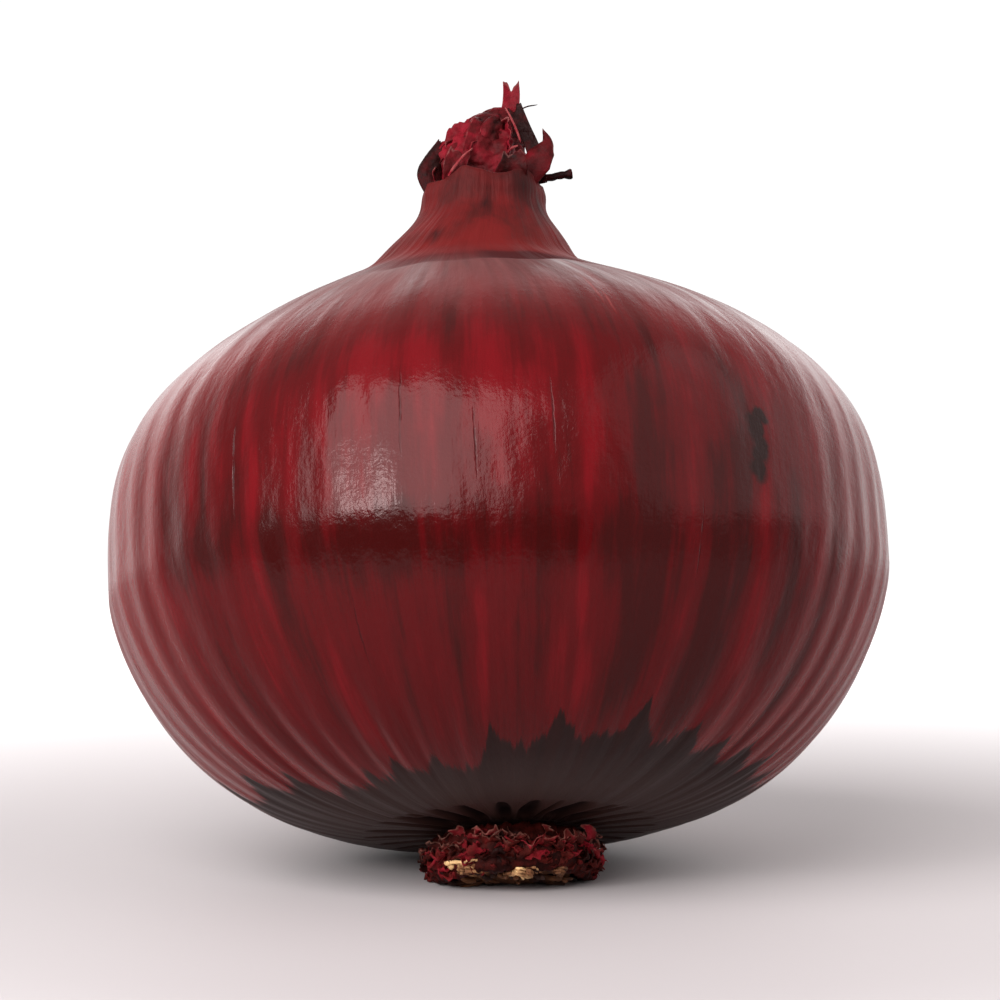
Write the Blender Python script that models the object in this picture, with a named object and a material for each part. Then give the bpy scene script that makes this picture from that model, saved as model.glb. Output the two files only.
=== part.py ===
"""A large red onion that stands on its root plate and leans back onto the edge of its underside.

Metres, +Z up. The origin is on the floor, in the middle of the flat that the cut roots rest on,
and the side of the onion that is seen first faces -Y.
"""

import math
import random

import bmesh
import bpy
from mathutils import Matrix, Vector

MM = 0.001

# Posture: how the bulb's axis leans, and where the middle of its underside is
LEAN_BACK = math.radians(19.0)
LEAN_LEFT = math.radians(2.8)
UNDERSIDE_AT = Vector((0.0, -1.2, 6.1)) * MM

# Bulb, along its own axis from the underside up
BULB_RADIUS = 45.0 * MM
EQUATOR = 28.5 * MM
LOWER_REACH, LOWER_ROUND, LOWER_DROP = 29.4 * MM, 3.14, 1.52
UPPER_REACH, UPPER_ROUND, UPPER_DROP = 41.5 * MM, 0.9, 3.34
UNDERSIDE_RADIUS = 7.5 * MM
UNDERSIDE_DISH = 0.35 * MM
DISH_HALFWAY = 12.0 * MM
LOWER_RINGS, UPPER_RINGS, NECK_RINGS = 10, 6, 5
UPPER_SPREAD = math.radians(84.0)

# Neck, which flares into a shoulder that sits a little to the left, and nods forward and to the right
NECK_RADIUS = 7.15 * MM
NECK_FLARE = 4.9 * MM
FLARE_FROM, FLARE_TO = 65.5 * MM, 74.5 * MM
NECK_TOP = 76.3 * MM
NOD_FROM = 62.0 * MM
NOD_FORWARD, NOD_RIGHT = 4.2, 1.6  # metres of offset for each metre of length squared
SWAY_LEFT, SWAY_AT, SWAY_SPREAD = 1.4 * MM, 65.0 * MM, 5.3 * MM

# Ridges of the skin, which run from the root plate to the neck
RIDGES = 46
COLUMNS_A_RIDGE = 4
RIDGE_HEIGHT = 0.6 * MM
RIDGE_FADE = 0.75  # share of the height that is lost on the way up to the neck
SPACING_WAVES = ((3, 0.035, 0.7), (7, 0.02, 2.1))  # turns round the bulb, size and start in radians

# Torn scale ends on top of the neck
TUFT_GAP = 0.3 * MM
TUFT_RADIUS = 6.4 * MM
TUFT_BASE = 1.6 * MM
TUFT_COLUMNS, TUFT_WOBBLE = 28, 0.02
LEAF_THICKNESS = 0.7 * MM
CAP_HALF_SIZE = Vector((4.9, 4.3, 5.3)) * MM
CAP_DEPTH = 3.0 * MM
CAP_AT = Vector((0.4, 0.4, 3.8)) * MM

# Ragged scale bases round the root plate
COLLAR_INNER, COLLAR_OUTER = 7.3 * MM, 9.1 * MM
COLLAR_TOP, COLLAR_BOTTOM = -0.9 * MM, -5.0 * MM
COLLAR_COLUMNS = 40
COLLAR_WAVE = 0.25 * MM
FRILL_RADIUS = 10.9 * MM
FRILL_ROOT_RADIUS, FRILL_ROOT_HEIGHT = 8.1 * MM, -4.4 * MM
FRILL_BEND_RADIUS, FRILL_BEND_HEIGHT = 9.4 * MM, -3.9 * MM
FRILL_BRIM_SHARE, FRILL_BRIM_HEIGHT = 0.94, -2.7 * MM
FRILL_CUP = 0.25 * MM
FRILL_SCALES = 17
FRILL_SHORTER, FRILL_LONGER = -0.5 * MM, 0.2 * MM
FRILL_RISE = (-2.0 * MM, -1.1 * MM)
FRILL_HALF_WIDTH = (1.3 * MM, 1.9 * MM)
FLOOR_CLEARANCE = 0.25 * MM

# Root plate with the stubs of its dry roots
PLATE_RADIUS = 6.7 * MM
PLATE_TOP, PLATE_BOTTOM = -0.75 * MM, -6.6 * MM
ROOT_STUBS = 18
ROOT_RADIUS = 0.6 * MM
ROOT_SIDES = 6
ROOT_START, ROOT_END = (2.5 * MM, 4.2 * MM), (5.4 * MM, 8.6 * MM)  # least and most distance from the axis
ROOT_DROP = (0.15 * MM, 0.6 * MM)
PLATE_COLUMNS, PLATE_WOBBLE = 32, 0.03
TWIST = 0.9 / MM  # radians that a wavy outline turns for each metre of height
FLOOR_BLOCK = 60.0 * MM

DARK_RED = (0.16, 0.014, 0.02)
BROWN_RED = (0.12, 0.012, 0.016)
CRIMSON = (0.15, 0.012, 0.02)
TAN = (0.55, 0.36, 0.16)

SEED = 7


def clear_scene():
    for thing in list(bpy.data.objects):
        bpy.data.objects.remove(thing, do_unlink=True)


def material(name, colour, roughness):
    made = bpy.data.materials.new(name)
    made.use_nodes = True
    shader = made.node_tree.nodes["Principled BSDF"]
    shader.inputs["Base Color"].default_value = (*colour, 1.0)
    shader.inputs["Roughness"].default_value = roughness
    shader.inputs["Metallic"].default_value = 0.0
    return made


def new_object(name, mesh_data):
    mesh = bpy.data.meshes.new(name)
    bmesh.ops.recalc_face_normals(mesh_data, faces=mesh_data.faces)
    mesh_data.to_mesh(mesh)
    mesh_data.free()
    thing = bpy.data.objects.new(name, mesh)
    bpy.context.scene.collection.objects.link(thing)
    return thing


def finish(thing, surface):
    thing.data.materials.clear()
    thing.data.materials.append(surface)
    thing.data.shade_smooth()
    thing.data.set_sharp_from_angle(angle=math.radians(45))


def posture():
    """To the world from the bulb's own frame: origin in the middle of its underside, +Z along its axis."""
    lean = Matrix.Rotation(-LEAN_LEFT, 4, "Y") @ Matrix.Rotation(-LEAN_BACK, 4, "X")
    return Matrix.Translation(UNDERSIDE_AT) @ lean


def nod(height):
    """How far the middle of the shoulder and neck is off the bulb's axis at this height."""
    rise = max(0.0, height - NOD_FROM)
    sway = SWAY_LEFT * math.exp(-(((height - SWAY_AT) / SWAY_SPREAD) ** 2))
    return Vector((NOD_RIGHT * rise * rise - sway, -NOD_FORWARD * rise * rise, 0.0))


def bulb_radius(height):
    if height <= EQUATOR:
        drop = ((EQUATOR - height) / LOWER_REACH) ** LOWER_DROP
        return BULB_RADIUS * (1.0 - drop) ** (1.0 / LOWER_ROUND)
    drop = min(1.0, (height - EQUATOR) / UPPER_REACH) ** UPPER_DROP
    body = BULB_RADIUS * (1.0 - drop) ** (1.0 / UPPER_ROUND)
    along = min(1.0, max(0.0, (height - FLARE_FROM) / (FLARE_TO - FLARE_FROM)))
    neck = NECK_RADIUS + NECK_FLARE * (0.5 + 0.5 * math.cos(math.pi * along))
    return (body**6 + neck**6) ** (1.0 / 6.0)


def ridge(angle, height):
    """Outward offset of the skin: uneven ridges, fullest below the equator and faint on the neck."""
    bent = angle + sum(size * math.sin(turns * angle + start) for turns, size, start in SPACING_WAVES)
    strength = 0.7 + 0.3 * math.sin(5 * angle + 1.3) * math.sin(2 * angle + 0.4)
    fade_up = 1.0 - RIDGE_FADE * min(1.0, max(0.0, (height - EQUATOR) / (FLARE_TO - EQUATOR)))
    return RIDGE_HEIGHT * strength * fade_up * (0.5 * math.cos(RIDGES * bent) - 0.5)


def bulb_levels():
    """Height and radius of every ring, from the dished underside up to the neck's top."""
    levels = [(-UNDERSIDE_DISH, UNDERSIDE_RADIUS), (-0.5 * UNDERSIDE_DISH, DISH_HALFWAY)]
    for step in range(LOWER_RINGS):
        height = EQUATOR * (1.0 - math.cos(0.5 * math.pi * step / (LOWER_RINGS - 1)))
        levels.append((height, bulb_radius(height)))
    for step in range(1, UPPER_RINGS + 1):
        height = EQUATOR + (FLARE_FROM - EQUATOR) * math.sin(UPPER_SPREAD * step / UPPER_RINGS)
        levels.append((height, bulb_radius(height)))
    for step in range(1, NECK_RINGS + 1):
        height = FLARE_FROM + (NECK_TOP - FLARE_FROM) * step / NECK_RINGS
        levels.append((height, bulb_radius(height)))
    return levels


def make_bulb():
    columns = RIDGES * COLUMNS_A_RIDGE
    mesh_data = bmesh.new()
    place = posture()
    rings = []
    levels = bulb_levels()
    for height, radius in levels:
        ring = []
        for column in range(columns):
            angle = 2.0 * math.pi * column / columns
            out = radius + ridge(angle, height) * min(1.0, radius / NECK_RADIUS - 0.9)
            point = Vector((out * math.cos(angle), out * math.sin(angle), height)) + nod(height)
            world = place @ point
            world.z = max(world.z, 0.0)
            ring.append(mesh_data.verts.new(world))
        rings.append(ring)
    for low, high in zip(rings, rings[1:]):
        for column in range(columns):
            following = (column + 1) % columns
            mesh_data.faces.new((low[column], low[following], high[following], high[column]))
    for ring, height in ((rings[0], levels[0][0]), (rings[-1], levels[-1][0])):
        middle = mesh_data.verts.new(place @ (Vector((0.0, 0.0, height)) + nod(height)))
        for column in range(columns):
            mesh_data.faces.new((ring[column], ring[(column + 1) % columns], middle))
    return new_object("bulb", mesh_data)


def smooth_path(points, steps):
    """Points on a smooth curve through the given ones."""
    ends = [points[0] * 2 - points[1], *points, points[-1] * 2 - points[-2]]
    path = []
    for a, b, c, d in zip(ends, ends[1:], ends[2:], ends[3:]):
        for step in range(steps):
            t = step / steps
            cubic = (2 * a - 5 * b + 4 * c - d) * t**2 + (3 * b - a - 3 * c + d) * t**3
            path.append(0.5 * (2 * b + (c - a) * t + cubic))
    path.append(points[-1].copy())
    return path


def ribbon(points, across, half_widths, cup=0.0, steps=3):
    """A cupped leaf of even thickness along a smooth path, with one half width for each given point."""
    path = smooth_path(points, steps)
    mesh_data = bmesh.new()
    sections = []
    for index, centre in enumerate(path):
        along = (path[min(index + 1, len(path) - 1)] - path[max(index - 1, 0)]).normalized()
        side = (across - along * across.dot(along)).normalized()
        face = along.cross(side)
        place = index / steps
        lower = min(int(place), len(half_widths) - 2)
        width = half_widths[lower] + (half_widths[lower + 1] - half_widths[lower]) * (place - lower)
        section = []
        for edge, skin in ((-1, 1), (0, 1), (1, 1), (1, -1), (0, -1), (-1, -1)):
            rise = cup * (1 - edge * edge) + 0.5 * skin * LEAF_THICKNESS
            section.append(mesh_data.verts.new(centre + side * (edge * width) + face * rise))
        sections.append(section)
    for first, second in zip(sections, sections[1:]):
        for corner in range(6):
            following = (corner + 1) % 6
            mesh_data.faces.new((first[corner], first[following], second[following], second[corner]))
    mesh_data.faces.new(sections[0])
    mesh_data.faces.new(sections[-1])
    bmesh.ops.triangulate(mesh_data, faces=mesh_data.faces)
    return mesh_data


def turned(levels, columns, wobble=0.0):
    """A closed solid turned round the axis from (height, radius) pairs, with a wavy outline."""
    mesh_data = bmesh.new()
    rings = []
    for height, radius in levels:
        ring = []
        for column in range(columns):
            angle = 2.0 * math.pi * column / columns
            out = radius * (1.0 + wobble * math.sin(5 * angle + TWIST * height) * math.cos(3 * angle))
            ring.append(mesh_data.verts.new((out * math.cos(angle), out * math.sin(angle), height)))
        rings.append(ring)
    for low, high in zip(rings, rings[1:]):
        for column in range(columns):
            following = (column + 1) % columns
            mesh_data.faces.new((low[column], low[following], high[following], high[column]))
    mesh_data.faces.new(rings[0])
    mesh_data.faces.new(rings[-1])
    return mesh_data


def fuse(base, pieces, operation="UNION", solver="EXACT"):
    """Joins the pieces to the base, or cuts them from it, in one Boolean on their collection."""
    group = bpy.data.collections.new("operands")
    bpy.context.scene.collection.children.link(group)
    for piece in pieces:
        bpy.context.scene.collection.objects.unlink(piece)
        group.objects.link(piece)
    joint = base.modifiers.new("joint", "BOOLEAN")
    joint.operation = operation
    joint.operand_type = "COLLECTION"
    joint.collection = group
    joint.solver = solver
    seen = base.evaluated_get(bpy.context.evaluated_depsgraph_get())
    result = bpy.data.meshes.new_from_object(seen)
    base.modifiers.clear()
    base.data = result
    for piece in pieces:
        bpy.data.objects.remove(piece, do_unlink=True)
    bpy.data.collections.remove(group)


def floor_under(point, clearance=0.0):
    """Height in the bulb's own frame at which the line through this point is this far off the floor."""
    row = posture()[2]
    return (clearance - row[3] - row[0] * point.x - row[1] * point.y) / row[2]


def cut_at_floor(base):
    mesh_data = bmesh.new()
    bmesh.ops.create_cube(mesh_data, size=FLOOR_BLOCK)
    bmesh.ops.translate(mesh_data, verts=mesh_data.verts, vec=(0.0, 0.0, -0.5 * FLOOR_BLOCK))
    fuse(base, [new_object("below_floor", mesh_data)], "DIFFERENCE")


def crumpled_cap():
    """The folded papery wad that fills the top of the neck."""
    mesh_data = bmesh.new()
    bmesh.ops.create_uvsphere(mesh_data, u_segments=20, v_segments=12, radius=1.0)
    for vertex in mesh_data.verts:
        x, y, z = vertex.co
        angle = math.atan2(y, x)
        fold = 1.0 + 0.13 * math.sin(4 * angle + 2.5 * z) + 0.07 * math.sin(7 * angle - 4.0 * z + 1.0)
        height = z * (CAP_HALF_SIZE.z if z > 0.0 else CAP_DEPTH) * (1.0 + 0.08 * math.sin(3 * angle))
        vertex.co = Vector((x * CAP_HALF_SIZE.x * fold, y * CAP_HALF_SIZE.y * fold, height))
    bmesh.ops.translate(mesh_data, verts=mesh_data.verts, vec=CAP_AT)
    return mesh_data


def tuft_leaves():
    """Path, direction across, half widths and cup of each torn leaf end, in mm from the neck's top."""
    right, front = Vector((1, 0, 0)), Vector((0, -1, 0))
    strap = [(1.6, 1.1, 0.9), (2.8, 0.7, 5.5), (3.5, 0.4, 9.6), (3.6, 0.4, 12.4)]
    yield strap, right, (1.6, 1.4, 1.1, 0.5), 0.3
    dark_strip = [(5.0, -0.8, 1.2), (5.8, -1.2, 3.2), (4.8, -1.0, 6.4), (3.4, -0.4, 9.0)]
    yield dark_strip, front + right, (1.3, 1.2, 1.0, 0.7), 0.2
    curled_right = [(4.8, -1.8, 1.2), (7.0, -1.4, 2.0), (7.9, -0.8, 3.6), (7.0, -0.6, 5.4)]
    yield curled_right, front, (2.0, 1.9, 1.3, 0.3), 0.5
    stub = [(4.8, 0.4, 0.9), (7.4, 0.2, 0.8), (9.8, 0.0, 1.1)]
    yield stub, front, (0.7, 0.6, 0.7), 0.0
    curled_left = [(-4.6, -0.8, 1.2), (-6.5, -0.6, 1.8), (-6.6, 0.0, 3.3), (-4.9, 0.2, 5.0)]
    yield curled_left, front, (2.2, 2.0, 1.6, 0.5), 0.4
    front_left = [(-3.4, -4.2, 1.2), (-4.7, -4.9, 2.1), (-2.8, -4.6, 3.4)]
    yield front_left, right + front * 0.6, (1.6, 1.2, 0.4), 0.3
    front_right = [(1.9, -4.6, 1.2), (2.2, -5.9, 2.1), (1.1, -5.2, 3.4)]
    yield front_right, right, (2.4, 1.8, 0.6), 0.3
    back_left = [(-2.6, 4.4, 1.2), (-3.5, 5.8, 2.6), (-2.6, 5.2, 4.8)]
    yield back_left, right, (2.4, 2.0, 0.5), -0.4
    back_right = [(3.0, 4.2, 1.2), (4.0, 5.4, 2.3), (3.6, 5.2, 4.0)]
    yield back_right, right - front * 0.4, (2.2, 1.7, 0.5), -0.4


def make_neck_scales():
    floor_disc = turned([(0.0, TUFT_RADIUS), (TUFT_BASE, TUFT_RADIUS)], TUFT_COLUMNS, TUFT_WOBBLE)
    base = new_object("neck_scales", floor_disc)
    pieces = [new_object("cap", crumpled_cap())]
    for path, across, half_widths, cup in tuft_leaves():
        points = [Vector(point) * MM for point in path]
        leaf = ribbon(points, across, [width * MM for width in half_widths], cup * MM)
        pieces.append(new_object("leaf", leaf))
    fuse(base, pieces, solver="MANIFOLD")  # the crossing leaves are too thin for EXACT
    top = NECK_TOP + TUFT_GAP
    base.data.transform(posture() @ Matrix.Translation(Vector((0.0, 0.0, top)) + nod(top)))
    return base


def collar_ring():
    """The band that the scale bases grow from, pressed flat where it would meet the floor."""
    mesh_data = bmesh.new()
    corners = ((COLLAR_INNER, COLLAR_BOTTOM), (COLLAR_OUTER - 0.5 * MM, COLLAR_BOTTOM))
    corners += ((COLLAR_OUTER, 0.4 * COLLAR_BOTTOM), (COLLAR_INNER, COLLAR_TOP))
    rings = []
    for column in range(COLLAR_COLUMNS):
        angle = 2.0 * math.pi * column / COLLAR_COLUMNS
        wave = COLLAR_WAVE * math.sin(6 * angle + 0.8)
        ring = []
        for radius, height in corners:
            out = radius + (wave if radius > COLLAR_INNER else 0.0)
            point = Vector((out * math.cos(angle), out * math.sin(angle), height))
            point.z = max(height, floor_under(point, FLOOR_CLEARANCE))
            ring.append(mesh_data.verts.new(point))
        rings.append(ring)
    for column in range(COLLAR_COLUMNS):
        first, second = rings[column], rings[(column + 1) % COLLAR_COLUMNS]
        for corner in range(4):
            following = (corner + 1) % 4
            mesh_data.faces.new((first[corner], first[following], second[following], second[corner]))
    return mesh_data


def frill_scale(angle, reach, rise, half_width):
    """One torn scale base that grows out of the collar and turns up to its ragged edge."""
    out = Vector((math.cos(angle), math.sin(angle), 0.0))
    around = Vector((-math.sin(angle), math.cos(angle), 0.0))
    stations = (
        (FRILL_ROOT_RADIUS, FRILL_ROOT_HEIGHT),
        (FRILL_BEND_RADIUS, FRILL_BEND_HEIGHT),
        (FRILL_BRIM_SHARE * reach, FRILL_BRIM_HEIGHT),
        (reach, rise),
    )
    points = [out * radius + Vector((0.0, 0.0, height)) for radius, height in stations]
    for point in points:
        point.z = max(point.z, floor_under(point, FLOOR_CLEARANCE + LEAF_THICKNESS))
    half_widths = [half_width * share for share in (1.0, 1.1, 1.0, 0.45)]
    return ribbon(points, around, half_widths, FRILL_CUP, steps=2)


def make_scale_bases(draw):
    base = new_object("scale_bases", collar_ring())
    pieces = []
    for index in range(FRILL_SCALES):
        angle = 2.0 * math.pi * (index + draw.uniform(-0.25, 0.25)) / FRILL_SCALES
        reach = FRILL_RADIUS + draw.uniform(FRILL_SHORTER, FRILL_LONGER)
        rise = draw.uniform(*FRILL_RISE)
        half_width = draw.uniform(*FRILL_HALF_WIDTH)
        pieces.append(new_object("scale", frill_scale(angle, reach, rise, half_width)))
    fuse(base, pieces)
    base.data.transform(posture())
    return base


def root_stub(angle, start, end, drop):
    """One dry root, bent from the plate's underside outwards and down."""
    out = Vector((math.cos(angle), math.sin(angle), 0.0))
    around = Vector((-math.sin(angle), math.cos(angle), 0.0))
    path = [
        out * start + Vector((0.0, 0.0, PLATE_BOTTOM + 1.2 * MM)),
        out * (0.5 * (start + end)) + Vector((0.0, 0.0, PLATE_BOTTOM + 0.1 * MM)),
        out * end + Vector((0.0, 0.0, PLATE_BOTTOM - drop)),
    ]
    mesh_data = bmesh.new()
    rings = []
    for centre in path:
        ring = []
        for side in range(ROOT_SIDES):
            turn = 2.0 * math.pi * side / ROOT_SIDES
            spoke = around * math.cos(turn) + Vector((0.0, 0.0, math.sin(turn)))
            ring.append(mesh_data.verts.new(centre + spoke * ROOT_RADIUS))
        rings.append(ring)
    for first, second in zip(rings, rings[1:]):
        for side in range(ROOT_SIDES):
            following = (side + 1) % ROOT_SIDES
            mesh_data.faces.new((first[side], first[following], second[following], second[side]))
    mesh_data.faces.new(rings[0])
    mesh_data.faces.new(rings[-1])
    return mesh_data


def make_root_plate(draw):
    levels = [
        (PLATE_BOTTOM, 0.86 * PLATE_RADIUS),
        (0.8 * PLATE_BOTTOM, PLATE_RADIUS),
        (PLATE_TOP, 0.97 * PLATE_RADIUS),
    ]
    base = new_object("root_plate", turned(levels, PLATE_COLUMNS, PLATE_WOBBLE))
    pieces = []
    for index in range(ROOT_STUBS):
        angle = 2.0 * math.pi * (index + draw.uniform(-0.3, 0.3)) / ROOT_STUBS
        start = draw.uniform(*ROOT_START)
        end = draw.uniform(*ROOT_END)
        drop = draw.uniform(*ROOT_DROP)
        pieces.append(new_object("root", root_stub(angle, start, end, drop)))
    fuse(base, pieces)
    base.data.transform(posture())
    cut_at_floor(base)
    return base


def main():
    clear_scene()
    draw = random.Random(SEED)
    finish(make_bulb(), material("skin", DARK_RED, 0.28))
    finish(make_neck_scales(), material("dry_scale", BROWN_RED, 0.6))
    finish(make_scale_bases(draw), material("torn_scale", CRIMSON, 0.65))
    finish(make_root_plate(draw), material("root", TAN, 0.75))


main()
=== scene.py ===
"""Looks of a large red onion: striped glossy skin, a torn papery neck, ragged scale bases and dry roots.

Metres, +Z up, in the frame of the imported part. "Bulb frame" below means the frame whose origin is the
middle of the onion's underside and whose +Z runs up its axis. Azimuths are degrees from the front (-Y)
towards the right (+X).
"""

import random
from math import cos, pi, radians, sin, sqrt, tan, tau

import bmesh
import bpy
import numpy as np
from mathutils import Matrix, Vector, noise


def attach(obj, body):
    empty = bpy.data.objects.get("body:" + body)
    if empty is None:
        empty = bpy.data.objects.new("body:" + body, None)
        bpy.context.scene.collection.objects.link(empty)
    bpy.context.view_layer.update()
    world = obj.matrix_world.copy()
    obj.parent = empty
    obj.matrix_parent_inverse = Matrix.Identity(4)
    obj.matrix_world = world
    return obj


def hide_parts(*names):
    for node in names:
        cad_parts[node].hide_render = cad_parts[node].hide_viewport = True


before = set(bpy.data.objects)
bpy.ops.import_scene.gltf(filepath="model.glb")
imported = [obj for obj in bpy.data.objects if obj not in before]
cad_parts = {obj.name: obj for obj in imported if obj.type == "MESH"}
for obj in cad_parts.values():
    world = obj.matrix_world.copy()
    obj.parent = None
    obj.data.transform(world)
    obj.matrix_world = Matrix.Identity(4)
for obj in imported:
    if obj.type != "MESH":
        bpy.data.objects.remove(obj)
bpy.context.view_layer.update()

MM = 0.001

# The part's own driving dimensions
LEAN_BACK = radians(19)
LEAN_LEFT = radians(2.8)
UNDERSIDE_AT = Vector((0, -1.2, 6.1)) * MM
BULB_RADIUS = 45 * MM
EQUATOR = 28.5 * MM
LOWER_REACH, LOWER_ROUND, LOWER_DROP = 29.4 * MM, 3.14, 1.52
UPPER_REACH, UPPER_ROUND, UPPER_DROP = 41.5 * MM, 0.9, 3.34
UNDERSIDE_RADIUS = 7.5 * MM
UNDERSIDE_DISH = 0.35 * MM
NECK_RADIUS = 7.15 * MM
NECK_FLARE = 4.9 * MM
FLARE_FROM, FLARE_TO = 65.5 * MM, 74.5 * MM
NECK_TOP = 76.3 * MM
NOD_FROM = 62 * MM
NOD_FORWARD, NOD_RIGHT = 4.2, 1.6
SWAY_LEFT, SWAY_AT, SWAY_SPREAD = 1.4 * MM, 65 * MM, 5.3 * MM
RIDGES = 46
RIDGE_HEIGHT = 0.6 * MM
# Least height above the floor of the torn scale, the roots and the root disc
FLOOR_CLEARANCE, ROOT_CLEARANCE, DISC_CLEARANCE = 0.12 * MM, 0.06 * MM, 0.05 * MM

COLUMNS_A_RIDGE = 12
SEED = 11

# Stripes seen from the front: azimuth, lowest and highest height in mm, half width in degrees, tone
# (positive is brighter red, negative is darker brown)
FRONT_STRIPES = (
    (-0.5, 36, 57, 2.2, 1), (14.6, 33, 49, 2.6, 0.9), (13.3, 8, 34, 1.2, 0.8), (8, 37, 50, 1.4, 0.6),
    (-11, 42, 50, 5.5, 0.55), (-36.6, 23, 50, 1.4, 1), (-43, 27, 45, 1.2, 0.7), (-48, 30, 41, 1.5, 0.6),
    (-40.5, 12, 28, 1.2, 0.5), (-28.2, 4, 15, 2, 0.9), (-24, 25, 43, 1.2, 0.6), (-3, 5, 19, 1.6, 0.9),
    (2, 12, 24, 0.9, 0.5), (-13.5, 12, 22, 1.6, 0.35), (9.5, 7, 15, 1.2, 0.6), (13, 5, 12, 1.8, 0.6),
    (29.6, 13, 36, 1.5, 0.8), (28.2, 8, 17, 2.3, 0.7), (42, 6, 31, 1.5, 0.9), (46, 4, 20, 2.6, 0.5),
    (54.6, 5, 43, 1.9, 1), (24.5, 26, 34, 1.2, 0.4), (-60, 5, 15, 5, 0.6), (-57, 14, 52, 2, 0.4),
    (31.5, 36, 50, 1, 0.4), (43.5, 42, 50, 3, 0.45), (-18, 30, 41, 1.2, 0.4), (-32, 34, 44, 1, 0.4),
    (-66, 18, 50, 2, 0.5), (64, 6, 46, 2.4, 0.6), (71, 10, 50, 1.8, 0.5), (-5.8, 22, 34, 1, 0.4),
    (-4.6, 45, 57, 1.4, -0.9), (4.4, 43, 54, 1.5, -0.8), (-39.2, 29, 49, 1.1, -0.8), (-45.6, 24, 47, 1.1, -0.8),
    (22.5, 8, 44, 4.5, -0.7), (35.5, 6, 36, 3.6, -0.7), (3.6, 5, 19, 3, -0.5), (18.5, 6, 27, 3.2, -0.6),
    (48.5, 12, 32, 2, -0.6), (-20, 6, 26, 4.5, -0.4), (-52.5, 24, 44, 2.4, -0.7), (10.8, 36, 56, 1.1, -0.6),
    (-33.5, 6, 30, 2.4, -0.4), (59.5, 10, 46, 1.9, -0.7), (27, 44, 56, 3, -0.4), (-8.5, 6, 24, 2.4, -0.3),
    (38, 28, 46, 2, -0.5), (-29.5, 44, 56, 3, -0.4),
)
# Where the dark zone round the roots reaches up between the red tongues: azimuth and height in mm
BASE_PEAKS = (
    (-72, 6), (-57, 5), (-45, 2.9), (-36, 3.3), (-27, 4), (-17, 3.5), (-3, 6), (11, 7), (28, 8.3),
    (42.5, 7), (53, 6.2), (64, 6.6), (75, 6.2),
)

# Hollows between the pleats above the scale bases, darkened with painted shade: azimuth and half width in degrees
FRONT_HOLLOWS = ((-44, 3.4), (-32, 4.6), (-20, 4.6), (-3, 4.8), (11, 5.8), (21, 2), (33, 7.6), (46, 3.2))
# How far the hollows are raised into the bulb, and where they start and end, in mm from the axis
HOLLOW_RAISE = 1 * MM
HOLLOW_START, HOLLOW_END = (7.6, 9.5), (13, 17.5)

# A darker belt of painted shade below the highlight, where the dark room is reflected: height, spread and bend, in mm
# and degrees from its middle
PAINTED_BELT_AT, PAINTED_BELT_SPREAD, PAINTED_BELT_BEND, PAINTED_BELT_MIDDLE = 23.6, 3.9, 0.0014, 10
# How much each feature adds to the skin's tone, which is redder above 0.5; the belt is painted shade and the lit patch
# under the window's highlight is painted light
TONE, TONE_ABOVE, TONE_PAINTED_BELT, TONE_PAINTED_LIGHT, TONE_SHOULDER = 0.46, 0.09, -0.36, 0.24, -0.20
BRIGHT_STRIPE, DARK_STRIPE, DARK_STRIPE_BEHIND = 0.42, 0.5, 0.55

# The fold under the neck's foot: depth, and heights in mm where it starts, is deepest and ends
FOLD_DEPTH = 1.9 * MM
FOLD_FROM, FOLD_DEEPEST, FOLD_LENGTH = 61, 62.2, 2.8
# The neck's uneven rim, and the rings that turn it inwards: inward, down in mm, share of full depth
RIM_BROAD, RIM_FINE, RIM_FROM = 0.4 * MM, 0.1 * MM, 70 * MM
LIP = ((0.22, -0.18, 0.15), (0.5, 0, 0.4), (0.7, 0.6, 0.8), (1, 1.6, 1), (2.2, 2.6, 1))
SHOULDER = 58 * MM  # where the closely set rings of the neck begin

RIGHT, FRONT, UP = Vector((1, 0, 0)), Vector((0, -1, 0)), Vector((0, 0, 1))
PALE = 1  # the shade of a pale fold
LEAF_THICK, FOLD_THICK = 0.25, 0.12

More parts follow.
